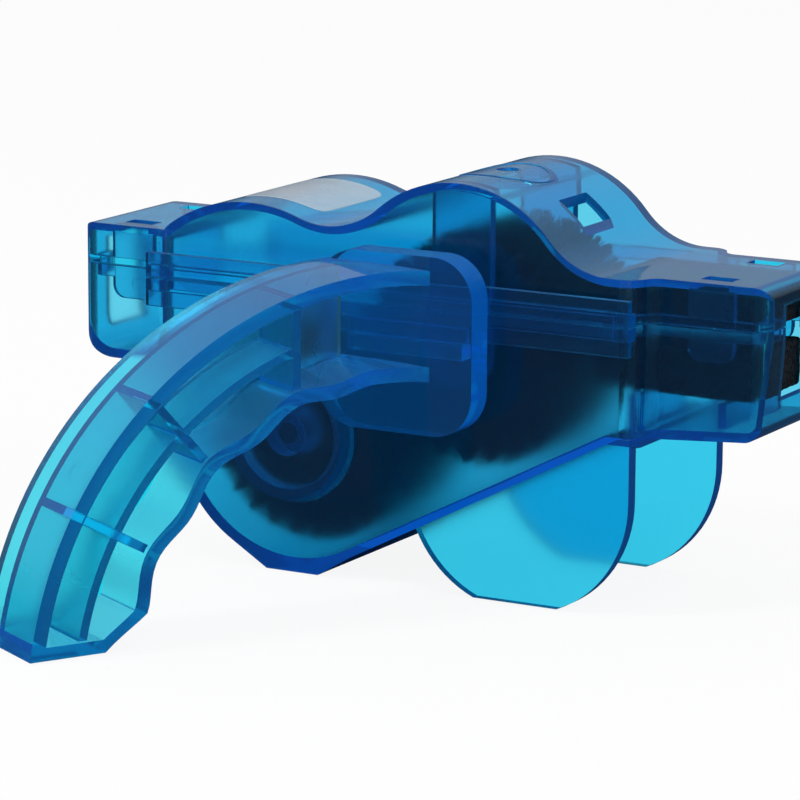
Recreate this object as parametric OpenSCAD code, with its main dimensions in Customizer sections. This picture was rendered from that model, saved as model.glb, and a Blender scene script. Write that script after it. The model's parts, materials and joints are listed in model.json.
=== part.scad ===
// Bicycle chain cleaner: a clear blue tank and lid with two meshing brush wheels,
// two foam wipers and a side handle that clamps on a rail.
// X runs along the chain, Y across the tool, Z up. The origin is on the table,
// under the lower axle, half way across the tank. Lengths are in millimetres.

/* [Housing] */
// Outer width of the middle of the housing
housing_w = 40; // [38:1:44]
// Outer width of the boxes at both ends
end_box_w = 30; // [28:1:32]
// Wall thickness of the tank and the lid
wall = 1.6; // [1.4:0.1:2.2]
// Height of the seam between tank and lid above the table
seam_z = 54; // [53:0.5:56]
// Left end of the housing
left_end_x = -50.5; // [-52:0.5:-48]
// Where the wide middle starts, on the left
mid_left_x = -30; // [-32:0.5:-29]
// Where the wide middle ends, on the right
mid_right_x = 71.5; // [70:0.5:74]
// Right end of the housing
right_end_x = 94.5; // [93:0.5:100]
// Height of the left box's underside
left_floor_z = 36; // [35:0.5:38]
// Height of the middle's underside, right of the wheels
mid_floor_z = 31.5; // [30:0.5:33]
// Height of the right box's underside at the middle
right_floor_z = 32.5; // [32:0.5:34]
// Rounding of the upright corners
plan_r = 4; // [2:0.5:5]

/* [Brush wheels] */
// Height of the lower axle
lower_axle_z = 27; // [26.5:0.25:28]
// Direction from the lower axle to the upper one, in degrees
axle_line_angle = 27.5; // [25:0.5:30]
// Module of the gear teeth
gear_module = 1.5; // [1.4:0.05:1.5]
// Number of teeth on each gear
gear_teeth = 26; // [24:1:26]
// Thickness of a gear
gear_t = 2.6; // [2:0.1:3]
// Radius of the axles
axle_r = 2; // [1.5:0.1:2.5]
// Radius of the wheel's core
core_r = 10.5; // [9:0.5:11]
// Radius at the bristle tips
bristle_r = 22.5; // [21:0.5:23]
// Rows of bristles across a wheel
bristle_rows = 8; // [6:1:8]
// Bristles in each row
bristles_per_row = 24; // [18:2:28]
// Room from an axle to the outside of the tank's round bottom
drum_r = 26; // [25.6:0.2:26.6]

/* [Lid] */
// Height of the low hump above the seam
low_hump_h = 15.7; // [14:0.1:17]
// Centre of the low hump along the tool
low_hump_x = -9.5; // [-11:0.5:-8]
// Radius of the low hump
low_hump_r = 30; // [28:1:32]
// Height of the high hump above the seam
high_hump_h = 22.9; // [22:0.1:25]
// Radius of the high hump
high_hump_r = 25; // [24:0.5:26]
// Radius of the dip between the humps
dip_r = 17; // [14:1:20]
// Radius where the high hump runs out
runout_r = 16; // [12:1:20]
// Height of the lid's left end above the seam
left_lid_h = 8; // [7.5:0.1:9]
// Height of the lid's right end above the seam
right_lid_h = 8.2; // [7.5:0.1:8.5]
// Diameter of the fill hole
fill_hole_d = 4.4; // [3:0.2:6]

/* [Rails and clamp] */
// How far the rails stand out from the wall
rail_out = 3.5; // [3.5:0.1:4.5]
// Depth of the tank's rail below the seam
tank_rail_h = 5.2; // [5:0.1:6]
// Height of the lid's rail above the seam
lid_rail_h = 5; // [4:0.1:6]
// Width of the clamp plate
clamp_w = 32; // [28:1:34]
// Lowest point of the clamp plate
clamp_z = 31.8; // [30:0.2:34]
// Height of the clamp plate
clamp_h = 33; // [30:0.5:35]
// Thickness of the clamp plate
clamp_t = 6; // [4:0.5:7]
// Rounding of the clamp plate's corners
clamp_r = 8; // [4:0.5:10]

/* [Handle] */
// Slant of the handle away from square to the housing, in degrees
handle_slant = 30; // [20:1:35]
// Width of the handle
handle_w = 19; // [16:0.5:20]
// Outer radius of the handle's arc
handle_r = 72.5; // [70:0.5:74]
// Depth of the handle across its arc
handle_depth = 20.3; // [18:0.1:22]
// Thickness of the handle's flanges
flange_t = 2.7; // [2.3:0.1:3.6]
// Thickness of the handle's web
web_t = 1.8; // [1.4:0.1:2.6]
// Thickness of the stiffening ribs
rib_t = 1.6; // [1.2:0.1:2]
// Height of the finger waves
wave_h = 0.9; // [0:0.1:1.2]

/* [Feet] */
// Radius of the half-round feet
foot_r = 22.9; // [22.5:0.1:23.5]
// Thickness of the feet
foot_t = 2.8; // [2.4:0.1:3.6]
// Centre of the feet along the tool
foot_x = 47.5; // [46:0.5:48]
// Width of the flat pad under the lower wheel
pad_w = 11.2; // [8:0.2:14]

/* [Foam and chain way] */
// Width of the chain openings
way_w = 13; // [11:0.5:14]
// Bottom of the chain openings below the seam
way_below = 13.5; // [12:0.5:14]
// Top of the chain openings above the seam
way_above = 4; // [3:0.5:4.5]
// Left end of the foam wipers
foam_x = 60.5; // [59.5:0.5:64]
// Room from the foam wipers to the right end
foam_end_room = 4; // [4:0.5:12]
// Width of the foam wipers
foam_w = 21; // [16:0.5:21]
// Height of the slit that the chain leaves through
slit_h = 3; // [1:0.5:5]
// Middle of the slit below the seam
slit_below = 3; // [2:0.5:4]

/* [Hidden] */

over = 1;             // overrun of every cut and join
fit = 0.3;            // clearance between pieces that slip together
side_gap = 0.4;       // clearance between the clamp and the rails
run_gap = 0.05;       // running clearance of an axle in its bore
plan_fillet = 3;      // hollow fillet where a box meets the middle
fine = 96;            // facets of a large circle
rough = 32;           // facets of a small circle

blue = [0.05, 0.55, 0.8, 0.5];
black = [0.12, 0.12, 0.14];
steel = [0.75, 0.76, 0.78];

// Bearings
wheel_gap = 0.6;      // from a gear's face to its bearing
hanger_w = 12;        // the arms that carry the upper axle
hanger_t = 2;
hanger_gap = 1.2;     // from an arm to the wall
hanger_rise = 0.7;    // the arm's flat top stays inside the round hump
bearing_r = 4.2;

// Wheels. They fill the room between the arms.
gear_spacing = housing_w - 2 * (wall + hanger_gap + hanger_t + wheel_gap + gear_t);
gear_in = gear_spacing / 2;
dedendum_share = 1.25; // depth of the tooth spaces, as a share of the module
pitch_r = gear_module * gear_teeth / 2;
tip_r = pitch_r + gear_module;
root_r = pitch_r - dedendum_share * gear_module;
pressure_angle = 20;
backlash = 0.24;      // width taken off each tooth at the pitch circle
upper_axle_x = 2 * pitch_r * cos(axle_line_angle);
upper_axle_z = lower_axle_z + 2 * pitch_r * sin(axle_line_angle);
wheel_half = gear_in + gear_t;
bearing_y = wheel_half + wheel_gap;
bristle_t = 0.9;      // thickness of a bristle along the axle
tip_share = 0.6;      // a bristle's width at its tip, as a share of its root
sleeve_t = 1.5;       // thickness of the sleeve that carries the bristles
sleeve_end = 0.4;     // from the sleeve's end to the gear
spare_share = 0.3;    // room beside the rows, as a share of their pitch
row_pitch = (gear_spacing - 2 * sleeve_end) / (bristle_rows + spare_share);
// A tooth of the lower gear points at the upper axle, into a space of the upper gear
lower_turn = axle_line_angle;
upper_turn = axle_line_angle + 180 + 180 / gear_teeth;

// Housing
mid_y = housing_w / 2;
box_y = end_box_w / 2;
lean_below = 10;      // from the seam to where the left wall starts to lean in
left_corner_r = 7.5;  // bottom corner of the left box
right_corner_r = 3;   // bottom corner of the right box
right_lean = 1;       // how far the right end leans in at its floor
right_rise = 1.5;       // how much the right box's floor rises outwards
top_corner_r = 3;     // top corner at both ends of the lid
box_lap = 3;          // how far a box reaches into the middle
skirt_t = 1.2;        // the lid's skirt inside the tank
skirt_h = 2.4;
skirt_root = 1.4;     // height of the ledge that the skirt hangs from

// Bosses and feet
boss_r = 13.5;
boss_face_r = 12.3;
boss_h = 3.4;
boss_hollow_r = 10.5;
foot_sink = 1.7;      // how far a foot's disc would reach below the table

// Snap tabs of the lid and the windows over them
tab_w = 9;
tab_t = 1.4;
tab_h = 6.4;
tab_r = 2.5;
tab_gap = 0.4;
catch_t = 0.25;
catch_h = 1.4;
window_w = 6.2;
window_d = 3.6;
left_tab_off = 1;     // the left tabs sit this far right of their box's middle
left_tab_x = (left_end_x + mid_left_x) / 2 + left_tab_off;
right_tab_x = (mid_right_x + right_end_x) / 2;
box_inner_y = box_y - wall;

// Rails
rail_lip_t = 1.5;
rail_web_h = 2.5;
rail_y = mid_y + rail_out;

// Clamp
clamp_back_y = -rail_y - side_gap;
clamp_front_y = clamp_back_y - clamp_t;
clamp_x = 11.4;
jaw_t = 2.9;
hook_t = 1.2;

// Handle, drawn in its own plane: T runs outwards, Z up, S across
root_off = 3.1;       // its middle meets the plate this far left of the plate's middle
root_in = 0.9;        // and this far behind the plate's face
handle_x = clamp_x + clamp_w / 2 - root_off;
handle_y = clamp_front_y + root_in;
arc_top_below = 2;    // from the top of the plate to the top of the arc
arc_t = 4.2;          // centre of its arc
arc_z = clamp_z + clamp_h - arc_top_below - handle_r;
root_angle = 104;     // where the arc starts, inside the clamp
tip_flare = 11;       // how much the handle narrows at the tip
flare_angle = 18;     // where it starts to narrow, in degrees
finger_w = 18.86;     // one finger along the inner side
wave_pitch = finger_w / (handle_r - handle_depth) * 180 / PI;
wave_start = 69.5;
wave_end = 90;        // the waves fade out here
wave_fade = 14;       // over this many degrees
web_share = 0.75;     // place of the web across the handle
web_from_t = 6.4;     // the web stops short of the clamp
stay_t = 22.4;        // place of the upright rib
rib_inset = 1;        // ribs stay below the flanges' edges
rib_angles = [29.2, 48.7];
tip_wall = 2.4;
mark_r = 1.9;         // round marks on the web
mark_h = 0.25;
// Where the marks are: the angle, then the place across the web as a share of its width
mark_shares = [[84, 0.32], [84, -0.35], [60, 0.24], [57, -0.36], [35, 0.25], [34, -0.36], [21, -0.34]];
web_s = handle_w / 2 - web_share * handle_w;

// Foam
foam_end_x = right_end_x - foam_end_room;
foam_rib_t = 1.6;
foam_top_z = seam_z + right_lid_h - wall - fit;
slit_z = seam_z - slit_below;
foam_below = 14;      // from the seam to the underside of the lower foam
foam_bottom_z = seam_z - foam_below;
foam_rib_shares = [0.2, 0.8];

// Lid features
label_t = 0.2;
label_x = -7;
label_w = 18;
label_d = 25;
ring_r = 9;
ring_w = 1.4;
ring_h = 0.15;
slot_x = 50.7;
slot_w = 5.2;
slot_d = 11;

// Points on an arc about c, from angle a to angle b
function arc(c, r, a, b, n = 12) =
    [for (i = [0 : n]) c + r * [cos(a + (b - a) * i / n), sin(a + (b - a) * i / n)]];

// Centre of a circle of radius r3 that touches circles of radii r1 and r2 from above
function nestle(c1, r1, c2, r2, r3) =
    let(d = norm(c2 - c1), p = r1 + r3, q = r2 + r3,
        a = (p * p - q * q + d * d) / (2 * d), h = sqrt(p * p - a * a),
        u = (c2 - c1) / d)
    c1 + a * u + h * [-u.y, u.x];

// Angle of the direction from one point to another
function heading(from, to) = atan2(to.y - from.y, to.x - from.x);

// Lays a flat XZ drawing across the tool, from y0 to y1
module across(y0, y1)
    translate([0, y1, 0]) rotate([90, 0, 0]) linear_extrude(y1 - y0) children();

// A round bar along Y, from y0 to y1
module bar(x, z, r, y0, y1, r2 = undef)
    translate([x, y1, z]) rotate([90, 0, 0])
        cylinder(h = y1 - y0, r1 = is_undef(r2) ? r : r2, r2 = r, $fn = fine);

// Both sides of the tool
module both_sides() {
    children();
    mirror([0, 1, 0]) children();
}

// A block between two corners
module block(a, b) translate(a) cube(b - a);

// Outline of the housing seen from above
module plan(inset = 0)
    offset(delta = -inset)
    offset(r = plan_r, $fn = rough) offset(delta = -plan_r)
    offset(r = -plan_fillet, $fn = rough) offset(delta = plan_fillet) {
        translate([left_end_x, -box_y]) square([right_end_x - left_end_x, end_box_w]);
        translate([mid_left_x, -mid_y]) square([mid_right_x - mid_left_x, housing_w]);
    }

// Upright walls of that outline between two heights
module upright(z0, z1, inset = 0)
    translate([0, 0, z0]) linear_extrude(z1 - z0) plan(inset);

// The tank seen from the side: a round bottom under the lower wheel, a straight rise
// under the upper one, and a shallow box at each end. It is open above the seam.
module tank_side() {
    lower = [0, lower_axle_z];
    lean = [mid_left_x, seam_z - lean_below];
    lean_angle = heading(lower, lean) + acos(drum_r / norm(lean - lower));
    floor_x = (mid_floor_z - lower_axle_z + drum_r / cos(axle_line_angle)) / tan(axle_line_angle);
    top = seam_z + wall + over;
    polygon(concat(
        [[mid_left_x, top], lean],
        arc(lower, drum_r, lean_angle, 270 + axle_line_angle, 28),
        [[floor_x, mid_floor_z], [mid_right_x, mid_floor_z], [mid_right_x, top]]));
    polygon(concat(
        [[mid_left_x + box_lap, top], [left_end_x, top]],
        arc([left_end_x + left_corner_r, left_floor_z + left_corner_r], left_corner_r, 180, 270),
        [[mid_left_x + box_lap, left_floor_z]]));
    corner = [right_end_x - right_lean - right_corner_r, right_floor_z + right_rise + right_corner_r];
    shoulder = [right_end_x, seam_z - skirt_h - over];
    corner_end = heading(corner, shoulder) - acos(right_corner_r / norm(shoulder - corner));
    polygon(concat(
        [[mid_right_x - box_lap, top], [mid_right_x - box_lap, right_floor_z]],
        arc(corner, right_corner_r, -90, corner_end),
        [shoulder, [right_end_x, top]]));
}

// The lid seen from the side: two humps with a dip between them and a flat at each end
module lid_side() {
    low = [low_hump_x, seam_z + low_hump_h - low_hump_r];
    high = [upper_axle_x, seam_z + high_hump_h - high_hump_r];
    dip = nestle(low, low_hump_r, high, high_hump_r, dip_r);
    flat_z = seam_z + right_lid_h;
    drop = flat_z + runout_r - high.y;
    runout = [high.x + sqrt(pow(high_hump_r + runout_r, 2) - drop * drop), flat_z + runout_r];
    left_top = seam_z + left_lid_h;
    bottom = seam_z - wall - over;
    polygon(concat(
        [[left_end_x, bottom]],
        arc([left_end_x + top_corner_r, left_top - top_corner_r], top_corner_r, 180, 90, 8),
        arc(low, low_hump_r, 180 - asin((left_top - low.y) / low_hump_r), heading(low, dip), 20),
        arc(dip, dip_r, heading(dip, low), heading(dip, high), 14),
        arc(high, high_hump_r, heading(high, dip), heading(high, runout), 24),
        arc(runout, runout_r, heading(runout, high) + 360, 270, 12),
        arc([right_end_x - top_corner_r, flat_z - top_corner_r], top_corner_r, 90, 0, 8),
        [[right_end_x, bottom]]));
}

// The chain's way through both end walls
module chain_way()
    for (x = [left_end_x, right_end_x])
        block([x - wall - skirt_t - 2 * over - right_lean, -way_w / 2, seam_z - way_below],
            [x + wall + skirt_t + 2 * over + fit, way_w / 2, seam_z + way_above]);

// Half of a rail: a flange at the seam and a lip at its edge; up is 1 or -1
module rail(h, up)
    translate([0, 0, seam_z]) scale([1, 1, up]) both_sides() {
        block([mid_left_x + plan_r, -rail_y, 0], [mid_right_x - plan_r, -mid_y + wall / 2, rail_web_h]);
        block([mid_left_x, -rail_y, 0], [mid_right_x, -mid_y - side_gap, rail_web_h]);
        block([mid_left_x, -rail_y, 0], [mid_right_x, -rail_y + rail_lip_t, h]);
    }

// One foot, a disc that is cut flat on the table
module foot_side()
    intersection() {
        union() {
            translate([foot_x, foot_r - foot_sink]) circle(r = foot_r, $fn = fine);
            translate([foot_x - foot_r, foot_r - foot_sink])
                square([2 * foot_r, mid_floor_z + wall - foot_r + foot_sink]);
        }
        translate([foot_x - foot_r, 0]) square([2 * foot_r, seam_z]);
    }

// The flat pad under the lower wheel; its ends slope up to touch the round bottom
module pad_side() {
    lower = [0, lower_axle_z];
    edge = [pad_w / 2, 0];
    touch_angle = heading(lower, edge) + acos(drum_r / norm(edge - lower));
    touch = lower + drum_r * [cos(touch_angle), sin(touch_angle)];
    polygon([[-edge.x, 0], edge, touch, [-touch.x, touch.y]]);
}

// Bearing for the lower axle: a raised round boss, hollow behind, with a sleeve in it
module boss_outside() bar(0, lower_axle_z, boss_r, -mid_y, -mid_y + wall);
module boss_cone()
    translate([0, -mid_y, lower_axle_z]) rotate([90, 0, 0])
        cylinder(h = boss_h, r1 = boss_r, r2 = boss_face_r, $fn = fine);

module tank() color(blue) difference() {
    union() {
        difference() {
            union() {
                intersection() {
                    across(-mid_y - over, mid_y + over) tank_side();
                    upright(0, seam_z);
                }
                both_sides() {
                    across(-mid_y, -mid_y + foot_t) foot_side();
                    boss_outside();
                    boss_cone();
                }
                across(-mid_y, mid_y) pad_side();
            }
            intersection() {
                across(-mid_y, mid_y) offset(delta = -wall) tank_side();
                upright(0, seam_z + over, wall);
            }
            both_sides()
                bar(0, lower_axle_z, boss_hollow_r, -mid_y - boss_h + wall, -mid_y + wall + over);
        }
        rail(tank_rail_h, -1);
        both_sides()
            bar(0, lower_axle_z, bearing_r, -mid_y - boss_h + wall / 2, -bearing_y);
        for (share = foam_rib_shares)
            foam_rib(foam_x + share * (foam_end_x - foam_x));
    }
    both_sides()
        bar(0, lower_axle_z, axle_r + run_gap, -mid_y - run_gap, -bearing_y + over);
    chain_way();
}

// Rib across the floor that keeps the lower foam out of the dirty fluid
module foam_rib(x)
    across(-foam_w / 2, foam_w / 2) intersection() {
        tank_side();
        translate([x - foam_rib_t / 2, 0]) square([foam_rib_t, foam_bottom_z - fit]);
    }

// Snap tab under the lid, inside the wall of an end box
module tab(x) {
    outer = -box_inner_y + tab_gap;
    across(outer, outer + tab_t) hull() {
        for (side = [-1, 1])
            translate([x + side * (tab_w / 2 - tab_r), seam_z - tab_h + tab_r])
                circle(r = tab_r, $fn = rough);
        translate([x - tab_w / 2, seam_z]) square([tab_w, right_lid_h - wall / 2]);
    }
    block([x, outer - catch_t, seam_z - tab_h / 2 - catch_h / 2],
        [x + tab_w / 2, outer + tab_t / 2, seam_z - tab_h / 2 + catch_h / 2]);
}

// Arm that carries one end of the upper axle
module hanger()
    across(-bearing_y - hanger_t, -bearing_y) {
        translate([upper_axle_x, upper_axle_z]) circle(d = hanger_w, $fn = fine);
        translate([upper_axle_x - hanger_w / 2, upper_axle_z])
            square([hanger_w, seam_z + high_hump_h - wall / 2 - upper_axle_z - hanger_rise]);
    }

module lid() color(blue) difference() {
    union() {
        difference() {
            intersection() {
                across(-mid_y - over, mid_y + over) lid_side();
                upright(seam_z, seam_z + high_hump_h + over);
            }
            intersection() {
                across(-mid_y, mid_y) offset(delta = -wall) lid_side();
                upright(seam_z - over, seam_z + high_hump_h, wall);
            }
        }
        difference() {
            upright(seam_z, seam_z + skirt_root, wall / 2);
            upright(seam_z - over, seam_z + skirt_root + over, wall + fit + skirt_t);
        }
        difference() {
            upright(seam_z - skirt_h, seam_z + over / 2, wall + fit);
            upright(seam_z - skirt_h - over, seam_z + over, wall + fit + skirt_t);
        }
        rail(lid_rail_h, 1);
        both_sides() {
            hanger();
            tab(left_tab_x);
            tab(right_tab_x);
        }
        intersection() {
            across(-mid_y, mid_y) offset(delta = ring_h) lid_side();
            translate([upper_axle_x, 0, seam_z]) difference() {
                cylinder(h = high_hump_h + over, r = ring_r, $fn = fine);
                translate([0, 0, -over])
                    cylinder(h = high_hump_h + 3 * over, r = ring_r - ring_w, $fn = fine);
            }
            block([left_end_x, -mid_y, seam_z + high_hump_h - 2 * wall],
                [right_end_x, mid_y, seam_z + high_hump_h + over]);
        }
    }
    both_sides() {
        bar(upper_axle_x, upper_axle_z, axle_r + run_gap, -bearing_y - hanger_t - over, -bearing_y + over);
        for (x = [left_tab_x, right_tab_x]) {
            back = -box_inner_y + tab_gap + tab_t;
            block([x - window_w / 2, back, seam_z + skirt_root],
                [x + window_w / 2, back + window_d, seam_z + max(left_lid_h, right_lid_h) + over]);
        }
    }
    translate([upper_axle_x, 0, seam_z])
        cylinder(h = high_hump_h + over, d = fill_hole_d, $fn = fine);
    block([slot_x - slot_w / 2, -slot_d / 2, seam_z + right_lid_h],
        [slot_x + slot_w / 2, slot_d / 2, seam_z + high_hump_h]);
    chain_way();
}

// Clear label on the low hump
module label() color([0.8, 0.9, 0.95, 0.4])
    intersection() {
        difference() {
            across(-label_d / 2, label_d / 2) offset(delta = label_t) lid_side();
            across(-label_d / 2 - over, label_d / 2 + over) lid_side();
        }
        block([label_x - label_w / 2, -label_d / 2, seam_z + left_lid_h],
            [label_x + label_w / 2, label_d / 2, seam_z + low_hump_h + over]);
    }

// Radius of the handle's inner side at an angle: finger waves, and a taper at the tip
function grip_r(a) =
    handle_r - handle_depth
        + wave_h * cos((a - wave_start) * 360 / wave_pitch) * min(1, max(0, (wave_end - a) / wave_fade))
        + tip_flare * max(0, 1 - a / flare_angle);

// A flat region between two radii of the handle's arc; each is a function of the angle
module arc_band(outer, inner, a0 = root_angle, a1 = 0, n = 64)
    translate([arc_t, arc_z]) polygon(concat(
        [for (i = [0 : n]) let(a = a0 + (a1 - a0) * i / n) outer(a) * [cos(a), sin(a)]],
        [for (i = [n : -1 : 0]) let(a = a0 + (a1 - a0) * i / n) inner(a) * [cos(a), sin(a)]]));

// Places a TZ drawing in the handle's plane, from s0 to s1 across it
module in_handle(s0, s1)
    translate([handle_x, handle_y, 0]) rotate([0, 0, 270 - handle_slant])
        across(s0, s1) children();

module handle() color(blue) {
    half = handle_w / 2;
    near = half - rib_inset;
    mid_r = handle_r - handle_depth / 2;
    intersection() {
        union() {
            in_handle(-half, half) {
                arc_band(function(a) handle_r, function(a) handle_r - flange_t);
                arc_band(function(a) grip_r(a) + flange_t, function(a) grip_r(a));
            }
            in_handle(web_s - web_t / 2, web_s + web_t / 2) intersection() {
                arc_band(function(a) handle_r - flange_t / 2, function(a) grip_r(a) + flange_t / 2);
                translate([web_from_t, 0]) square([2 * handle_r, 2 * handle_r]);
            }
            in_handle(web_s, near) intersection() {
                arc_band(function(a) handle_r - flange_t / 2, function(a) grip_r(a) + flange_t / 2);
                union() {
                    for (a = rib_angles) translate([arc_t, arc_z]) rotate(a)
                        translate([0, -rib_t / 2]) square([handle_r, rib_t]);
                    translate([stay_t - rib_t / 2, 0]) square([rib_t, handle_r]);
                    translate([stay_t, -tip_wall]) intersection() {
                        translate([arc_t - stay_t, arc_z + tip_wall]) difference() {
                            circle(r = mid_r + rib_t / 2, $fn = 2 * fine);
                            circle(r = mid_r - rib_t / 2, $fn = 2 * fine);
                        }
                        square([2 * handle_r, 2 * handle_r]);
                    }
                }
            }
            in_handle(-half, half) intersection() {
                arc_band(function(a) handle_r - flange_t / 2, function(a) grip_r(a) + flange_t / 2);
                square([2 * handle_r, tip_wall]);
            }
            for (site = mark_shares) {
                r = mid_r + site[1] * (handle_depth - 2 * flange_t);
                translate([handle_x, handle_y, 0]) rotate([0, 0, 270 - handle_slant])
                    translate([0, web_s, 0])
                        bar(arc_t + r * cos(site[0]), arc_z + r * sin(site[0]), mark_r,
                            0, web_t / 2 + mark_h);
            }
        }
        block([-3 * handle_r, -3 * handle_r, 0], [3 * handle_r, clamp_front_y + over, 2 * handle_r]);
    }
    clamp();
}

// Plate with a hook that rides on the tank's rail. It stays clear of the lid and the boss.
module clamp() {
    across(clamp_front_y, clamp_back_y) hull()
        for (x = [clamp_r, clamp_w - clamp_r], z = [clamp_r, clamp_h - clamp_r])
            translate([clamp_x + x, clamp_z + z]) circle(r = clamp_r, $fn = fine);
    hook_back = -mid_y - side_gap;
    arm_top = seam_z - tank_rail_h - side_gap;
    block([clamp_x + clamp_r / 2, clamp_back_y - over, arm_top - jaw_t],
        [clamp_x + clamp_w - clamp_r / 2, hook_back, arm_top]);
    block([clamp_x + clamp_r / 2, hook_back - hook_t, arm_top - over],
        [clamp_x + clamp_w - clamp_r / 2, hook_back, seam_z - rail_web_h - side_gap]);
}

module foam(z0, z1) color(black)
    block([foam_x, -foam_w / 2, z0], [foam_end_x, foam_w / 2, z1]);
module lower_foam() foam(foam_bottom_z, slit_z - slit_h / 2);
module upper_foam() foam(slit_z + slit_h / 2, foam_top_z);

// Outline of a gear with involute flanks; one tooth points along +X
module gear_outline() {
    base_r = pitch_r * cos(pressure_angle);
    low_r = max(base_r, root_r);
    pitch_half = 90 / gear_teeth - backlash / 2 / pitch_r * 180 / PI;
    inv = function(r) let(a = acos(min(1, base_r / r))) tan(a) * 180 / PI - a;
    steps = 4;
    flank = [for (i = [0 : steps]) let(r = low_r + (tip_r - low_r) * i / steps)
        [r, pitch_half + inv(pitch_r) - inv(r)]];
    tooth = concat(
        [[root_r, -flank[0][1]]],
        [for (p = flank) [p[0], -p[1]]],
        [for (i = [steps : -1 : 0]) flank[i]],
        [[root_r, flank[0][1]]]);
    polygon([for (k = [0 : gear_teeth - 1], p = tooth)
        p[0] * [cos(360 * k / gear_teeth + p[1]), sin(360 * k / gear_teeth + p[1])]]);
}

// A gear between y0 and y1, turned so that a tooth points at angle turn
module gear(x, z, turn, y0, y1) color(black)
    translate([x, 0, z]) difference() {
        across(y0, y1) rotate(turn) gear_outline();
        bar(0, 0, axle_r, y0 - over, y1 + over);
    }

// Bristles round a thin sleeve, as one closed surface. The sleeve is a grid of cells;
// every other cell of a row grows into a four-sided bristle that tapers to its tip.
module bristle_ring(shift) {
    n = 2 * bristles_per_row;
    half = gear_in - sleeve_end;
    outer = core_r + sleeve_t;
    inner = (core_r + run_gap) / cos(180 / n);
    rows = bristle_rows;
    centre = function(k) (k - (rows - 1) / 2) * row_pitch + shift;
    planes = concat([-half],
        [for (k = [0 : rows - 1], e = [-1, 1]) centre(k) + e * bristle_t / 2], [half]);
    last = len(planes) - 1;
    at = function(r, a, y) [r * cos(a), y, r * sin(a)];
    ring_points = [for (y = planes, i = [0 : n - 1]) at(outer, 360 * i / n, y)];
    bore_points = [for (y = [-half, half], i = [0 : n - 1]) at(inner, 360 * i / n, y)];
    tips = [for (k = [0 : rows - 1], i = [k % 2 : 2 : n - 1])
        let(a = 360 * (i + 0.5) / n, w = 180 / n * outer / bristle_r * tip_share,
            h = bristle_t / 2 * tip_share, y = centre(k))
        each [at(bristle_r, a - w, y - h), at(bristle_r, a + w, y - h),
              at(bristle_r, a + w, y + h), at(bristle_r, a - w, y + h)]];
    id = function(i, j) j * n + i % n;
    bore = function(i, e) (last + 1 + e) * n + i % n;
    tip0 = (last + 3) * n;
    quad = function(a, b, c, d) [[a, b, c], [a, c, d]];
    faces = concat(
        [for (j = [0 : last - 1], i = [0 : n - 1])
            let(k = (j - 1) / 2, is_bristle = j % 2 == 1 && (i + k) % 2 == 0,
                A = id(i, j), B = id(i + 1, j), C = id(i + 1, j + 1), D = id(i, j + 1),
                t = tip0 + 4 * (k * n / 2 + floor(i / 2)))
            each is_bristle
                ? concat(quad(A, B, t + 1, t), quad(B, C, t + 2, t + 1),
                    quad(C, D, t + 3, t + 2), quad(D, A, t, t + 3), quad(t, t + 1, t + 2, t + 3))
                : quad(A, B, C, D)],
        [for (i = [0 : n - 1]) each concat(
            quad(id(i + 1, 0), id(i, 0), bore(i, 0), bore(i + 1, 0)),
            quad(bore(i + 1, 0), bore(i, 0), bore(i, 1), bore(i + 1, 1)),
            quad(id(i, last), id(i + 1, last), bore(i + 1, 1), bore(i, 1)))]);
    color(black) polyhedron(concat(ring_points, bore_points, tips), faces);
}

module core(x, z) color(black) difference() {
    bar(x, z, core_r, -gear_in, gear_in);
    bar(x, z, axle_r, -gear_in - over, gear_in + over);
}

// The lower wheel turns in the tank and the upper one in the lid's arms. Their teeth
// meet on the line between the axles, and their rows of bristles pass between each other.
module lower_axle() color(steel) bar(0, lower_axle_z, axle_r, -mid_y, mid_y);
module lower_core() core(0, lower_axle_z);
module lower_bristles() translate([0, 0, lower_axle_z]) bristle_ring(-row_pitch / 4);
module lower_front_gear() gear(0, lower_axle_z, lower_turn, -wheel_half, -gear_in);
module lower_rear_gear() gear(0, lower_axle_z, lower_turn, gear_in, wheel_half);

module upper_axle() color(steel)
    bar(upper_axle_x, upper_axle_z, axle_r, -bearing_y - hanger_t, bearing_y + hanger_t);
module upper_core() core(upper_axle_x, upper_axle_z);
module upper_bristles() translate([upper_axle_x, 0, upper_axle_z]) bristle_ring(row_pitch / 4);
module upper_front_gear() gear(upper_axle_x, upper_axle_z, upper_turn, -wheel_half, -gear_in);
module upper_rear_gear() gear(upper_axle_x, upper_axle_z, upper_turn, gear_in, wheel_half);

tank();
lid();
handle();
label();
lower_foam();
upper_foam();
lower_axle();
lower_core();
lower_bristles();
lower_front_gear();
lower_rear_gear();
upper_axle();
upper_core();
upper_bristles();
upper_front_gear();
upper_rear_gear();
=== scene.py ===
import json
import math

import bmesh
import bpy
import numpy as np
from mathutils import Matrix, Vector
from mathutils.bvhtree import BVHTree


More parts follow.
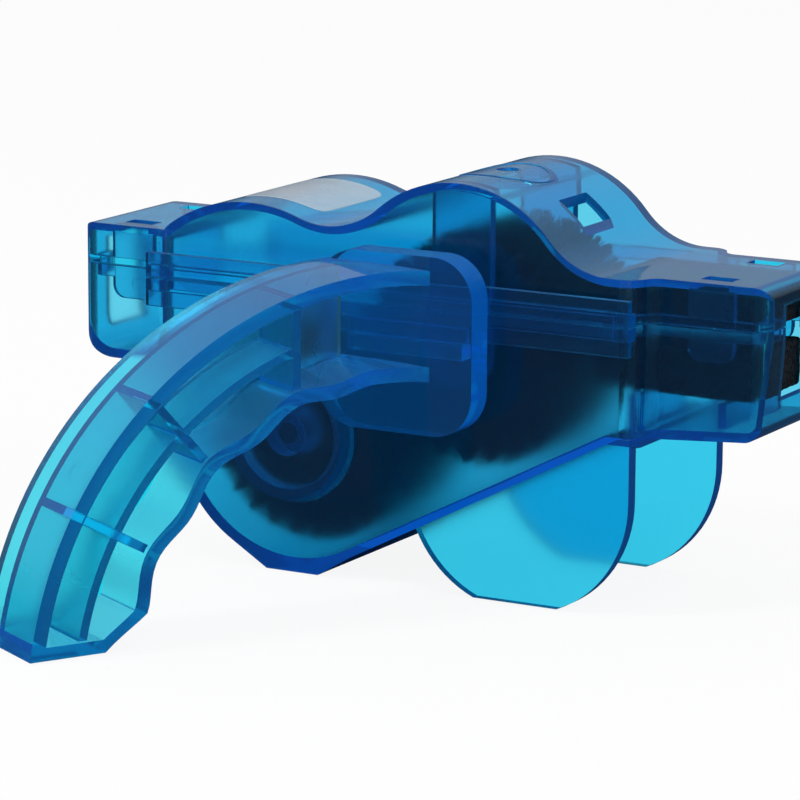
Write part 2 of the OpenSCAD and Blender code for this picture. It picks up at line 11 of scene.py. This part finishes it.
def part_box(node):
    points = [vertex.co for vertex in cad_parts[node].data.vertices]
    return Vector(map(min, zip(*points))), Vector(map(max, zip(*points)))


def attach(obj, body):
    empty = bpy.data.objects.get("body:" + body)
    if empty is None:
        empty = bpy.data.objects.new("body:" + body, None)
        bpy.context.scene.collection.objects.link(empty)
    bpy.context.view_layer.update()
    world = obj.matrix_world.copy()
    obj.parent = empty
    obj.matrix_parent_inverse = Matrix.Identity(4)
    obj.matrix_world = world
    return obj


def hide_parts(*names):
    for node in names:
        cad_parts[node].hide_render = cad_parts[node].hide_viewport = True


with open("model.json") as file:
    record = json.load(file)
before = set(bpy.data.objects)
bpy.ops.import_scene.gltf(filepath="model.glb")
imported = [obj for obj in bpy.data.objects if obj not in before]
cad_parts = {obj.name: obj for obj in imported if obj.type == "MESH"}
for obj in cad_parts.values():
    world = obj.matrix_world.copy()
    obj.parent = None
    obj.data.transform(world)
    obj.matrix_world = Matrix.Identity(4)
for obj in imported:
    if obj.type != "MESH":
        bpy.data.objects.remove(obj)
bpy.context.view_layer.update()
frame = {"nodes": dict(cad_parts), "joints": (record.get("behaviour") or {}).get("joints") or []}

# Lengths are in metres; mm turns the part's own millimetres into them.
mm = 0.001

# Camera, fitted to the photograph: where it stands, the way it looks, and its frame of 800 pixels
frame_px = 800
camera_at = (400.44 * mm, -693.26 * mm, 196.41 * mm)
camera_azimuth = 28.844
camera_elevation = 12.465
camera_roll = 0.403
focal_px = 4270.69
axis_px = (430.24, 451.79)
sensor_w = 36.0

# Housing: the seam between tank and lid, the hollow bosses, and how far apart its walls stand
seam_z = 54 * mm
seam_groove = 0.18 * mm
boss_hollow_r = 10.6 * mm
boss_from_y = 18 * mm
boss_face_y = 23.2 * mm
housing_room = 60 * mm
housing_edge = 0.5 * mm

# Brush wheels
joints = {joint["name"]: joint for joint in frame["joints"]}
lower_axle = Vector(joints["lower_spin"]["pos_m"])
upper_axle = Vector(joints["upper_spin"]["pos_m"])
gear_spacing = 24 * mm
gear_gap = 0.4 * mm
gear_edge = 0.12 * mm
core_r = 10.5 * mm
core_fit = 0.05 * mm
sleeve_r = 12 * mm
sleeve_half = gear_spacing / 2 - gear_gap
sleeve_steps = 96
bristle_r = 22.5 * mm
bristle_rows = 8
tufts_per_row = 24
row_pitch = 2 * sleeve_half / (bristle_rows + 0.3)
strands_per_tuft = 20
strand_r = 0.15 * mm
strand_root = 0.4 * mm
strand_lean = 0.25 * mm
tip_room = 0.12 * mm
tip_wear = 0.22 * mm
tuft_root = 0.9 * mm
tuft_flare = 1.5 * mm
tuft_half_y = 0.34 * mm
tuft_flare_y = 0.1 * mm
tuft_reach_y = 0.43 * mm
lower_end_y = 11.44 * mm
lower_end_strands = 760
upper_end_y = 11.18 * mm
upper_end_strands = 120

# Handle: the direction across it, half its width, and the depth of its channel
handle_slant = math.radians(30)
across_handle = Vector((math.cos(handle_slant), -math.sin(handle_slant), 0))
handle_root = Vector((24.3 * mm, -29 * mm, 0))
handle_half_w = 9.5 * mm
handle_room = 12 * mm
handle_edge = 0.6 * mm

# Foam wipers
foam_room = 0.05 * mm
foam_round = 0.9 * mm
foam_grid = 0.42 * mm
foam_pit = 0.3 * mm
foam_sag = 0.35 * mm

# Label on the low hump
low_hump_r = 30 * mm
low_hump_x = -9.5 * mm
label_t = 0.2 * mm
film_t = 0.14 * mm
film_lift = 0.03 * mm

# Floor and lamps
floor_half = 4.0
floor_drop = 0.3 * mm
lamp_aim = (0.02, 0, 0.03)

golden_angle = math.pi * (3 - math.sqrt(5))


# Shader maths

class Value:
    """A socket that can stand in a sum: each operator adds its Math node."""

    def __init__(self, nodes, socket):
        self.nodes = nodes
        self.socket = socket

    def sum_with(self, operation, *values):
        return self.nodes.add("ShaderNodeMath", {"operation": operation}, dict(enumerate(values)))

    def __add__(self, other):
        return self.sum_with("ADD", self, other)

    def __sub__(self, other):
        return self.sum_with("SUBTRACT", self, other)

    def __mul__(self, other):
        return self.sum_with("MULTIPLY", self, other)

    def __rsub__(self, other):
        return self.sum_with("SUBTRACT", other, self)

    def __abs__(self):
        return self.sum_with("ABSOLUTE", self)

    __radd__ = __add__
    __rmul__ = __mul__

    def most(self, other):
        return self.sum_with("MAXIMUM", self, other)

    def least(self, other):
        return self.sum_with("MINIMUM", self, other)

    def step(self, low, high):
        """0 below low, 1 above high, and a smooth rise between them."""
        return self.nodes.add("ShaderNodeMapRange", {"interpolation_type": "SMOOTHSTEP"},
                              {"Value": self, "From Min": low, "From Max": high})


class Nodes:
    """The nodes of one material or of the world."""

    def __init__(self, owner):
        owner.use_nodes = True
        self.owner = owner
        self.tree = owner.node_tree
        self.tree.nodes.clear()

    def add(self, kind, settings=None, inputs=None, output=0):
        """Adds a node, sets its settings first and then its sockets, and gives back one output."""
        node = self.tree.nodes.new(kind)
        for name, setting in (settings or {}).items():
            setattr(node, name, setting)
        for name, value in (inputs or {}).items():
            socket = node.inputs[name]
            if isinstance(value, Value):
                self.tree.links.new(value.socket, socket)
            else:
                socket.default_value = value
        return Value(self, node.outputs[output])

    def place(self, stretch=(1, 1, 1), turn=(0, 0, 0)):
        """The point on the object, in metres, after a stretch and a turn."""
        point = self.add("ShaderNodeTexCoord", output="Object")
        return self.add("ShaderNodeMapping", None, {"Vector": point, "Rotation": turn, "Scale": stretch})

    def noise(self, size, detail=3.0, rough=0.55, at=None):
        """Cloudy noise whose patches are about size across, from 0 to 1."""
        return self.add("ShaderNodeTexNoise", None, {
            "Vector": at or self.place(), "Scale": 1 / size, "Detail": detail, "Roughness": rough})

    def cells(self, size):
        """Distance to the nearest of many scattered points that are about size apart."""
        return self.add("ShaderNodeTexVoronoi", None, {"Vector": self.place(), "Scale": 1 / size}, "Distance")

    def blend(self, share, first, second):
        """A colour between two colours."""
        return self.add("ShaderNodeMix", {"data_type": "RGBA"}, {0: share, 6: first, 7: second}, 2)

    def bump(self, height, depth, under=None):
        """A normal that shows height, from 0 to 1, as relief of that depth."""
        inputs = {"Height": height, "Distance": depth, "Strength": 1.0}
        if under:
            inputs["Normal"] = under
        return self.add("ShaderNodeBump", None, inputs)

    def attribute(self, name):
        return self.add("ShaderNodeAttribute", {"attribute_name": name}, output="Fac")

    def facing(self):
        """The surface's own direction in the object's axes, as three values."""
        normal = self.add("ShaderNodeTexCoord", output="Normal")
        parts = self.add("ShaderNodeSeparateXYZ", None, {0: normal})
        return [Value(self, parts.socket.node.outputs[axis]) for axis in range(3)]

    def finish(self, surface, volume=None):
        output = self.tree.nodes.new("ShaderNodeOutputMaterial")
        self.tree.links.new(surface.socket, output.inputs["Surface"])
        if volume:
            self.tree.links.new(volume.socket, output.inputs["Volume"])
        return self.owner


def new_finish(name):
    return Nodes(bpy.data.materials.new(name))


# Finishes

def clear_blue(name, tint, density, glow, haze):
    """Clear tinted moulding: glossy outside, frosted and a little milky inside. Faces that look up get more
    of the blue milk as a painted sheen.
    The plastic takes up red and some green along the light's way, and a faint painted glow in its depth
    stands in for the blue light that the dyed plastic would scatter. Corners carry a fine grain, faces faint
    scuffs."""
    paint = new_finish(name)
    inner = paint.attribute("inner")
    x, y, z = paint.facing()
    corner = (abs(x) * abs(y)).step(0.2, 0.42) * (1 - abs(z)).step(0.5, 0.9)
    sink = paint.noise(22 * mm, 1.0, 0.4)
    grain = paint.noise(0.28 * mm, 2.0, 0.6)
    scuff = paint.noise(3 * mm, 4.0, 0.7, paint.place((1, 1, 4), (0.2, 0.5, 0.3))).step(0.56, 0.74)
    rough = 0.03 + inner * 0.2 + corner * 0.12 + scuff * 0.03
    relief = paint.bump(sink, 0.25 * mm)
    relief = paint.bump(grain * (0.12 + corner), 0.016 * mm, relief)
    tone = paint.blend(sink, tint, tuple(0.8 * share + 0.2 for share in tint))
    glass = paint.add("ShaderNodeBsdfPrincipled", None, {
        "Base Color": tone, "Roughness": rough, "Normal": relief,
        "IOR": 1.5, "Transmission Weight": 1.0})
    milk = paint.add("ShaderNodeBsdfDiffuse", None, {"Color": (0.12, 0.46, 0.95, 1), "Normal": relief})
    # The up-facing term is a painted sheen: faces that look up take more blue milk, so they are lighter on
    # top as an overhead light would make them. The inner share is real frosting.
    milky = inner.least(1.0) * haze + z.step(0.3, 0.9) * 0.13
    surface = paint.add("ShaderNodeMixShader", None, {0: milky, 1: glass, 2: milk})
    absorbed = paint.add("ShaderNodeVolumeAbsorption", None,
                         {"Color": (0.0, 0.925, 0.966, 1), "Density": density})
    # Painted glow: a blue emission in the plastic's depth shines whatever light falls on it, standing in for
    # scattered light.
    painted_glow = paint.add("ShaderNodeEmission", None,
                        {"Color": (0.10, 0.32, 1.0, 1), "Strength": density * glow})
    depth = paint.add("ShaderNodeAddShader", None, {0: absorbed, 1: painted_glow})
    return paint.finish(surface, depth)


def clear_film(name):
    """Thin clear film with a milky cast and tiny dust specks."""
    paint = new_finish(name)
    haze = paint.noise(6 * mm, 3.0, 0.6)
    specks = paint.noise(0.35 * mm, 2.0, 0.5).step(0.66, 0.74)
    tone = paint.blend(haze, (0.70, 0.80, 0.86, 1), (0.82, 0.88, 0.91, 1))
    body = paint.add("ShaderNodeBsdfPrincipled", None, {
        "Base Color": tone, "Roughness": 0.18 + haze * 0.1,
        "Alpha": 0.34 + haze * 0.08 + specks * 0.1,
        "Normal": paint.bump(haze, 0.06 * mm)})
    return paint.finish(body)


def black_moulding(name):
    """Satin black plastic with a fine spark-eroded grain and greyer worn patches."""
    paint = new_finish(name)
    cloud = paint.noise(9 * mm, 4.0, 0.6)
    grain = paint.noise(0.22 * mm, 2.0, 0.6)
    wear = paint.noise(2.2 * mm, 5.0, 0.7).step(0.66, 0.84)
    tone = paint.blend(cloud, (0.006, 0.0062, 0.009, 1), (0.012, 0.0125, 0.017, 1))
    tone = paint.blend(wear * 0.25, tone, (0.032, 0.033, 0.035, 1))
    body = paint.add("ShaderNodeBsdfPrincipled", None, {
        "Base Color": tone, "Roughness": 0.5 + cloud * 0.12 + wear * 0.1, "Specular IOR Level": 0.3,
        "Normal": paint.bump(grain, 0.006 * mm)})
    return paint.finish(body)


def nylon(name):
    """Stiff black nylon strands, a little lighter towards their cut ends."""
    paint = new_finish(name)
    along = paint.attribute("along")
    streak = paint.noise(1.1 * mm, 3.0, 0.6)
    tone = paint.blend(along * 0.7 + streak * 0.25, (0.006, 0.0065, 0.0075, 1), (0.022, 0.023, 0.025, 1))
    body = paint.add("ShaderNodeBsdfPrincipled", None, {
        "Base Color": tone, "Roughness": 0.45 + streak * 0.14, "Specular IOR Level": 0.3,
        "Normal": paint.bump(streak, 0.01 * mm)})
    return paint.finish(body)


def open_foam(name):
    """Black open-cell foam: a net of thin struts round pores, with painted shade darkening the pores."""
    paint = new_finish(name)
    pore = paint.cells(0.75 * mm)
    fine = paint.cells(0.32 * mm)
    struts = pore.step(0.25, 0.6) * 0.7 + fine.step(0.3, 0.6) * 0.3
    # Painted shade: the pores take a far darker colour than the struts, as if shade falls into them.
    tone = paint.blend(struts, (0.002, 0.002, 0.003, 1), (0.017, 0.018, 0.022, 1))
    body = paint.add("ShaderNodeBsdfPrincipled", None, {
        "Base Color": tone, "Roughness": 0.95 - struts * 0.1, "Specular IOR Level": 0.2,
        "Normal": paint.bump(struts, 0.25 * mm)})
    return paint.finish(body)


def drawn_steel(name):
    """Blackened steel rod with fine lines along it and a few bare spots."""
    paint = new_finish(name)
    lines = paint.noise(0.12 * mm, 2.0, 0.5, paint.place((1, 0.04, 1)))
    spots = paint.noise(1.6 * mm, 4.0, 0.6).step(0.58, 0.75)
    tone = paint.blend(spots, (0.03, 0.031, 0.034, 1), (0.09, 0.09, 0.095, 1))
    body = paint.add("ShaderNodeBsdfPrincipled", None, {
        "Base Color": tone, "Metallic": 1.0, "Roughness": 0.22 + lines * 0.14 + spots * 0.2,
        "Normal": paint.bump(lines, 0.008 * mm)})
    return paint.finish(body)


def ray_kinds(paint):
    """Two values: 1 where the camera looks straight or through clear plastic, and 1 where a
    surface has mirrored the ray on its way."""
    straight, through, turns = (paint.add("ShaderNodeLightPath", output=kind)
                                for kind in ("Is Camera Ray", "Is Transmission Ray", "Glossy Depth"))
    mirrored = turns.least(1.0)
    return straight.most(through) * (1 - mirrored), mirrored


def pale_floor(name):
    """Matt white card that keeps a soft shadow. In mirrored rays its colour is painted near black, as a
    painted dark reflection.
    """
    paint = new_finish(name)
    fibre = paint.noise(1.5 * mm, 3.0, 0.6)
    seen, mirrored = ray_kinds(paint)
    tone = paint.blend(fibre, (0.90, 0.90, 0.905, 1), (0.93, 0.93, 0.93, 1))
    # Painted reflection: glossy faces see this card as near black, a dark surround that does not light the
    # scene.
    tone = paint.blend(mirrored, tone, (0.06, 0.065, 0.07, 1))
    card = paint.add("ShaderNodeBsdfPrincipled", None, {
        "Base Color": tone, "Roughness": 0.9, "Specular IOR Level": 0.1,
        "Normal": paint.bump(fibre, 0.02 * mm)})
    glow = paint.add("ShaderNodeEmission", None, {"Color": (1, 1, 1, 1), "Strength": 1.0})
    both = paint.add("ShaderNodeMixShader", None, {0: seen * 0.9, 1: card, 2: glow})
    return paint.finish(both)


# Mesh work

def new_piece(name, verts, faces, finish, body, smooth=True):
    """Makes a mesh piece from whole arrays and puts it on its body."""
    mesh = bpy.data.meshes.new(name)
    mesh.from_pydata(np.asarray(verts, float).reshape(-1, 3).tolist(), [],
                     [tuple(face) for face in faces])
    mesh.polygons.foreach_set("use_smooth", [smooth] * len(mesh.polygons))
    mesh.materials.append(finish)
    mesh.update()
    piece = bpy.data.objects.new(name, mesh)
    bpy.context.scene.collection.objects.link(piece)
    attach(piece, body)
    return piece


def grid_faces(rows, columns, closed_rows=False, closed_columns=False, start=0):
    """Four-sided faces of a grid of points, row by row."""
    i, j = np.meshgrid(np.arange(rows - (not closed_rows)), np.arange(columns - (not closed_columns)),
                       indexing="ij")
    i2, j2 = (i + 1) % rows, (j + 1) % columns
    corners = (i * columns + j, i * columns + j2, i2 * columns + j2, i2 * columns + j)
    return np.stack(corners, -1).reshape(-1, 4) + start


def lattice_noise(points, size, seed):
    """Smooth noise from 0 to 1: random values on a lattice, eased between its points."""
    table = np.random.default_rng(seed).random((16, 16, 16))
    place = np.asarray(points) / size
    low = np.floor(place).astype(int)
    share = place - low
    share = share * share * (3 - 2 * share)
    total = np.zeros(place.shape[:-1])
    for corner in np.ndindex(2, 2, 2):
        index = (low + corner) % 16
        weight = np.prod(np.where(corner, share, 1 - share), -1)
        total += weight * table[index[..., 0], index[..., 1], index[..., 2]]
    return total


def outward(mesh):
    """Turns every face of a closed mesh outwards."""
    shape = bmesh.new()
    shape.from_mesh(mesh)
    bmesh.ops.remove_doubles(shape, verts=shape.verts, dist=1e-3 * mm)
    bmesh.ops.recalc_face_normals(shape, faces=shape.faces)
    shape.to_mesh(mesh)
    shape.free()


def merged_copy(node, name):
    """A CAD node's mesh with its doubled corners merged and its flat faces joined."""
    source = frame["nodes"][node].data
    mesh = bpy.data.meshes.new(name)
    mesh.from_pydata([tuple(v.co) for v in source.vertices], [],
                     [tuple(p.vertices) for p in source.polygons])
    shape = bmesh.new()
    shape.from_mesh(mesh)
    bmesh.ops.remove_doubles(shape, verts=shape.verts, dist=2e-3 * mm)
    bmesh.ops.dissolve_limit(shape, angle_limit=math.radians(0.5), verts=shape.verts, edges=shape.edges)
    shape.to_mesh(mesh)
    shape.free()
    return mesh


def mark_inner(mesh, reach, across=None):
    """Marks the faces that look at another face of their own piece within reach: the inside.
    On the handle, the faces across it that lie between its edges count too: web and ribs.
    On the housing, the floor of each boss counts twice, and the boss's outer face not at all."""
    corners = [v.co.copy() for v in mesh.vertices]
    tree = BVHTree.FromPolygons(corners, [tuple(p.vertices) for p in mesh.polygons])
    inner = np.zeros(len(mesh.polygons), np.float32)
    for face in mesh.polygons:
        hit = tree.ray_cast(face.center + face.normal * 0.05 * mm, face.normal, reach)
        inner[face.index] = hit[0] is not None
        if across and abs(face.normal.dot(across)) > 0.9:
            depth = abs((face.center - handle_root).dot(across))
            inner[face.index] = depth < 0.8 * handle_half_w
        if not across and abs(face.center.y) > boss_from_y:
            if math.hypot(face.center.x - lower_axle.x, face.center.z - lower_axle.z) < boss_hollow_r:
                inner[face.index] = 2 * (abs(face.center.y) < boss_face_y)
    mesh.attributes.new("inner", "FLOAT", "FACE").data.foreach_set("value", inner)


def soften(piece, width):
    """Rounds the sharp edges and keeps the flat faces flat to the eye."""
    bevel = piece.modifiers.new("edges", "BEVEL")
    bevel.width = width
    bevel.segments = 2
    bevel.limit_method = "ANGLE"
    bevel.angle_limit = math.radians(32)
    normals = piece.modifiers.new("normals", "WEIGHTED_NORMAL")
    normals.keep_sharp = True


def dressed_copy(node, finish, body, width, inner_reach=0.0, lift_seam=False, across=None):
    """Stands a bevelled, merged copy in for a CAD node."""
    name = node + "_moulding"
    mesh = merged_copy(node, name)
    if lift_seam:
        points = np.zeros(len(mesh.vertices) * 3)
        mesh.vertices.foreach_get("co", points)
        points = points.reshape(-1, 3)
        points[np.abs(points[:, 2] - seam_z) < 0.01 * mm, 2] += seam_groove
        mesh.vertices.foreach_set("co", points.ravel())
    mesh.polygons.foreach_set("use_smooth", [True] * len(mesh.polygons))
    if inner_reach:
        mark_inner(mesh, inner_reach, across)
    mesh.materials.append(finish)
    piece = bpy.data.objects.new(name, mesh)
    bpy.context.scene.collection.objects.link(piece)
    soften(piece, width)
    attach(piece, body)
    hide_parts(node)
    return piece


# Pieces

def strands(axle, shift, end_y, end_strands, seed):
    """Points and faces of every strand of a wheel.
    A tuft sits in every other cell of its row. In a tuft, strand s of S starts at the polar point
    (sqrt((s + 0.5) / S), s times the golden angle) of a small ellipse, leans a little to its own
    side, and tapers on three rings of four points to its tip. A close row of single strands,
    strand s of S at the angle s times the golden angle, stands at each end."""
    chance = np.random.default_rng(seed)
    row, tuft, strand = np.meshgrid(np.arange(bristle_rows), np.arange(tufts_per_row),
                                    np.arange(strands_per_tuft), indexing="ij")
    row, tuft, strand = row.ravel(), tuft.ravel(), strand.ravel()
    count = len(row)
    spread = np.sqrt((strand + 0.5) / strands_per_tuft)
    turn = strand * golden_angle + chance.random(count)
    centre = (2 * tuft + row % 2 + 0.5) * math.pi / tufts_per_row
    middle_y = (row - (bristle_rows - 1) / 2) * row_pitch + shift
    singles = np.arange(2 * end_strands)
    centre = np.concatenate([centre, singles * golden_angle])
    middle_y = np.concatenate([middle_y, np.where(singles % 2, end_y, -end_y)])
    spread = np.concatenate([spread, 0.0 * singles])
    turn = np.concatenate([turn, 0.0 * singles])
    lean = chance.normal(0, strand_lean, (count + len(singles), 2))
    lean[count:, 1] = 0
    count += len(singles)
    tip_r = bristle_r - tip_room - np.abs(chance.normal(0, tip_wear, count))
    root_r = sleeve_r - strand_root
    rings = []
    for share in (0.0, 0.55, 1.0):
        radius = root_r + share * (tip_r - root_r)
        round_by = spread * np.cos(turn) * (tuft_root + tuft_flare * share) + lean[:, 0] * share ** 2
        y = middle_y + np.clip(spread * np.sin(turn) * (tuft_half_y + tuft_flare_y * share)
                               + 0.2 * lean[:, 1] * share ** 2, -tuft_reach_y, tuft_reach_y)
        angle = centre + round_by / radius
        thick = strand_r * (1 - 0.25 * share)
        for corner in range(4):
            side = (math.cos(corner * math.pi / 2), math.sin(corner * math.pi / 2))
            a = angle + side[0] * thick / radius
            rings.append(np.stack([axle.x + radius * np.cos(a), y + side[1] * thick,
                                   axle.z + radius * np.sin(a)], -1))
    points = np.stack(rings, 1)
    sides = [(4 * ring + k, 4 * ring + (k + 1) % 4, 4 * ring + 4 + (k + 1) % 4, 4 * ring + 4 + k)
             for ring in range(2) for k in range(4)]
    one = np.array(sides + [(3, 2, 1, 0), (8, 9, 10, 11)])
    faces = (np.arange(count)[:, None, None] * 12 + one).reshape(-1, 4)
    along = np.tile(np.repeat([0.0, 0.55, 1.0], 4), count)
    return points.reshape(-1, 3), faces, along


def sleeve(axle):
    """A tube along Y with eased ends: a closed profile of radius and place, turned about the axle."""
    ease = 0.3 * mm
    bore = core_r + core_fit
    profile = np.array([(bore, -sleeve_half), (sleeve_r - ease, -sleeve_half),
                        (sleeve_r, -sleeve_half + ease), (sleeve_r, sleeve_half - ease),
                        (sleeve_r - ease, sleeve_half), (bore, sleeve_half)])
    angle = np.arange(sleeve_steps) * 2 * math.pi / sleeve_steps
    radius, y = profile[:, 0][None], profile[:, 1][None]
    points = np.stack([axle.x + radius * np.cos(angle)[:, None],
                       np.broadcast_to(y, (sleeve_steps, len(profile))),
                       axle.z + radius * np.sin(angle)[:, None]], -1)
    return points.reshape(-1, 3), grid_faces(sleeve_steps, len(profile), True, True)


def brush(name, axle, shift, end_y, end_strands, seed, body, node, finish):
    """One wheel's bristles on their sleeve."""
    tube_points, tube_faces = sleeve(axle)
    hair_points, hair_faces, along = strands(axle, shift, end_y, end_strands, seed)
    points = np.concatenate([tube_points, hair_points])
    faces = np.concatenate([tube_faces, hair_faces + len(tube_points)])
    piece = new_piece(name, points, faces, finish, body)
    shade = np.concatenate([np.zeros(len(tube_points)), along]).astype(np.float32)
    outward(piece.data)
    layer = piece.data.attributes.new("along", "FLOAT", "POINT")
    layer.data.foreach_set("value", shade[:len(piece.data.vertices)])
    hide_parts(node)
    return piece


def foam_wiper(name, node, body, seed, finish):
    """A foam block cut by hand: each side of a cube is a grid, every point is pulled in to a box
    with rounded edges, and lattice noise presses shallow pits into the surface."""
    low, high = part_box(node)
    low, high = np.array(low), np.array(high)
    middle, half = (low + high) / 2, (high - low) / 2 - foam_room
    counts = np.maximum(2, np.round(2 * half / foam_grid).astype(int)) + 1
    points, faces, start = [], [], 0
    for axis in range(3):
        u, v = (axis + 1) % 3, (axis + 2) % 3
        for side in (-1, 1):
            a, b = np.meshgrid(np.linspace(-1, 1, counts[u]), np.linspace(-1, 1, counts[v]),
                               indexing="ij")
            cube = np.zeros(a.shape + (3,))
            cube[..., axis], cube[..., u], cube[..., v] = side, a, b
            points.append((cube * half).reshape(-1, 3))
            faces.append(grid_faces(counts[u], counts[v], start=start))
            start += a.size
    points = np.concatenate(points)
    core = np.clip(points, foam_round - half, half - foam_round)
    way = points - core
    length = np.linalg.norm(way, axis=1, keepdims=True)
    normal = way / np.maximum(length, 1e-9)
    pits = lattice_noise(points + 1, 0.9 * mm, seed) * 0.6
    pits += lattice_noise(points + 1, 0.45 * mm, seed + 1) * 0.4
    sag = foam_sag * lattice_noise(points + 1, 9 * mm, seed + 2)
    points = core + normal * (foam_round - (foam_pit * pits + sag)[:, None])
    piece = new_piece(name, points + middle, np.concatenate(faces), finish, body)
    outward(piece.data)
    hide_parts(node)
    return piece


def label_film(finish):
    """The blank film on the low hump. Its outline is the curve |x/a|^8 + |y/b|^8 = 1, its points are
    rings round the middle, and every height follows the hump's circle."""
    low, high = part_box("label")
    middle, half = (low + high) / 2, (high - low) / 2
    hump_z = high.z - label_t - low_hump_r
    rings, steps, power = 26, 160, 8
    angle = np.arange(steps) * 2 * math.pi / steps
    reach = (np.abs(np.cos(angle)) ** power + np.abs(np.sin(angle)) ** power) ** (-1 / power)
    share = np.linspace(0, 1, rings)[1:, None]
    x = middle.x + share * reach * np.cos(angle) * half.x
    y = middle.y + share * reach * np.sin(angle) * half.y
    layers = []
    for lift in (film_lift + film_t, film_lift):
        z = hump_z + np.sqrt((low_hump_r + lift) ** 2 - (x - low_hump_x) ** 2)
        layers.append(np.stack([x, y, z], -1).reshape(-1, 3))
    size = (rings - 1) * steps
    top = grid_faces(rings - 1, steps, False, True)
    under = grid_faces(rings - 1, steps, False, True, size)[:, ::-1]
    edge = np.arange(steps) + (rings - 2) * steps
    after = (np.arange(steps) + 1) % steps + (rings - 2) * steps
    rim = np.stack([edge, after, after + size, edge + size], -1)
    centre_z = hump_z + math.sqrt(low_hump_r ** 2 - (middle.x - low_hump_x) ** 2)
    centres = [(middle.x, middle.y, centre_z + lift) for lift in (film_lift + film_t, film_lift)]
    fans = [(2 * size + level, level * size + k, level * size + (k + 1) % steps)
            for level in range(2) for k in range(steps)]
    faces = [tuple(f) for group in (top, under, rim) for f in group] + fans
    piece = new_piece("label_film", np.concatenate(layers + [np.array(centres)]), faces, finish, "lid")
    outward(piece.data)
    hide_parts("label")
    return piece


blue = clear_blue("clear_blue_moulding", (0.50, 0.74, 0.94, 1), 880.0, 0.012, 0.012)
light_blue = clear_blue("clear_blue_handle", (0.50, 0.92, 0.98, 1), 620.0, 0.021, 0.01)
black = black_moulding("black_moulding")
hair = nylon("black_nylon")
steel = drawn_steel("drawn_steel")

dressed_copy("tank", blue, "housing", housing_edge, housing_room)
dressed_copy("lid", blue, "lid", housing_edge, housing_room, lift_seam=True)
dressed_copy("handle", light_blue, "handle", handle_edge, handle_room, across=across_handle)
for wheel in ("lower", "upper"):
    for end in ("front", "rear"):
        dressed_copy(f"{wheel}_{end}_gear", black, wheel + "_wheel", gear_edge)
    frame["nodes"][wheel + "_core"].data.materials.clear()
    frame["nodes"][wheel + "_core"].data.materials.append(black)
    frame["nodes"][wheel + "_axle"].data.materials.clear()
    frame["nodes"][wheel + "_axle"].data.materials.append(steel)
brush("lower_brush", lower_axle, -row_pitch / 4, lower_end_y, lower_end_strands, 11,
      "lower_wheel", "lower_bristles", hair)
brush("upper_brush", upper_axle, row_pitch / 4, upper_end_y, upper_end_strands, 12,
      "upper_wheel", "upper_bristles", hair)
foam = open_foam("open_cell_foam")
foam_wiper("lower_wiper", "lower_foam", "housing", 21, foam)
foam_wiper("upper_wiper", "upper_foam", "lid", 31, foam)
label_film(clear_film("blank_film"))


# Floor, light and camera

def stage():
    """A pale floor, a white surround and two soft lamps. In reflections the surround is painted dimmer than
    the light it gives, darkest below the horizon.
    """
    half, z = floor_half, -floor_drop
    mesh = bpy.data.meshes.new("floor")
    mesh.from_pydata([(-half, -half, z), (half, -half, z), (half, half, z), (-half, half, z)],
                     [], [(0, 1, 2, 3)])
    mesh.materials.append(pale_floor("pale_card"))
    floor = bpy.data.objects.new("floor", mesh)
    bpy.context.scene.collection.objects.link(floor)

    world = bpy.data.worlds.new("surround")
    bpy.context.scene.world = world
    sky = Nodes(world)
    seen, mirrored = ray_kinds(sky)
    way = sky.add("ShaderNodeTexCoord", output="Generated")
    height = sky.add("ShaderNodeSeparateXYZ", None, {0: way}, "Z")
    # Painted reflection: mirrored rays see the surround at 0.12 below the horizon, rising to 0.34 above it,
    # while it lights the scene at 0.62.
    strength = 0.62 + seen * 0.38 + mirrored * (height.step(-0.02, 0.16) * 0.22 - 0.50)
    glow = sky.add("ShaderNodeBackground", None, {"Color": (1, 1, 1, 1), "Strength": strength})
    output = sky.tree.nodes.new("ShaderNodeOutputWorld")
    sky.tree.links.new(glow.socket, output.inputs["Surface"])

    aim = Vector(lamp_aim)
    for name, place, size, power in (("key_lamp", (-0.7, -0.9, 1.2), 0.28, 9.0),
                                     ("fill_lamp", (1.1, -0.5, 0.9), 0.4, 5.0)):
        lamp = bpy.data.lights.new(name, "AREA")
        lamp.size = size
        lamp.energy = power
        holder = bpy.data.objects.new(name, lamp)
        holder.location = place
        holder.rotation_euler = (aim - Vector(place)).to_track_quat("-Z", "Y").to_euler()
        bpy.context.scene.collection.objects.link(holder)


def camera():
    """Stands where the photograph was taken from and frames it alike."""
    a, e, r = (math.radians(x) for x in (camera_azimuth, camera_elevation, camera_roll))
    back = Vector((math.sin(a) * math.cos(e), -math.cos(a) * math.cos(e), math.sin(e)))
    right = Vector((math.cos(a), math.sin(a), 0))
    up = back.cross(right)
    right, up = math.cos(r) * right + math.sin(r) * up, math.cos(r) * up - math.sin(r) * right
    lens = bpy.data.cameras.new("camera")
    lens.sensor_width = sensor_w
    lens.lens = focal_px / frame_px * sensor_w
    lens.shift_x = (frame_px / 2 - axis_px[0]) / frame_px
    lens.shift_y = (axis_px[1] - frame_px / 2) / frame_px
    lens.clip_start, lens.clip_end = 0.01, 20
    holder = bpy.data.objects.new("camera", lens)
    holder.matrix_world = Matrix.Translation(camera_at) @ Matrix((right, up, back)).transposed().to_4x4()
    bpy.context.scene.collection.objects.link(holder)
    bpy.context.scene.camera = holder


stage()
camera()
scene = bpy.context.scene
scene.view_settings.view_transform = "Standard"
scene.cycles.max_bounces = 18
scene.cycles.transmission_bounces = 18
scene.cycles.transparent_max_bounces = 18
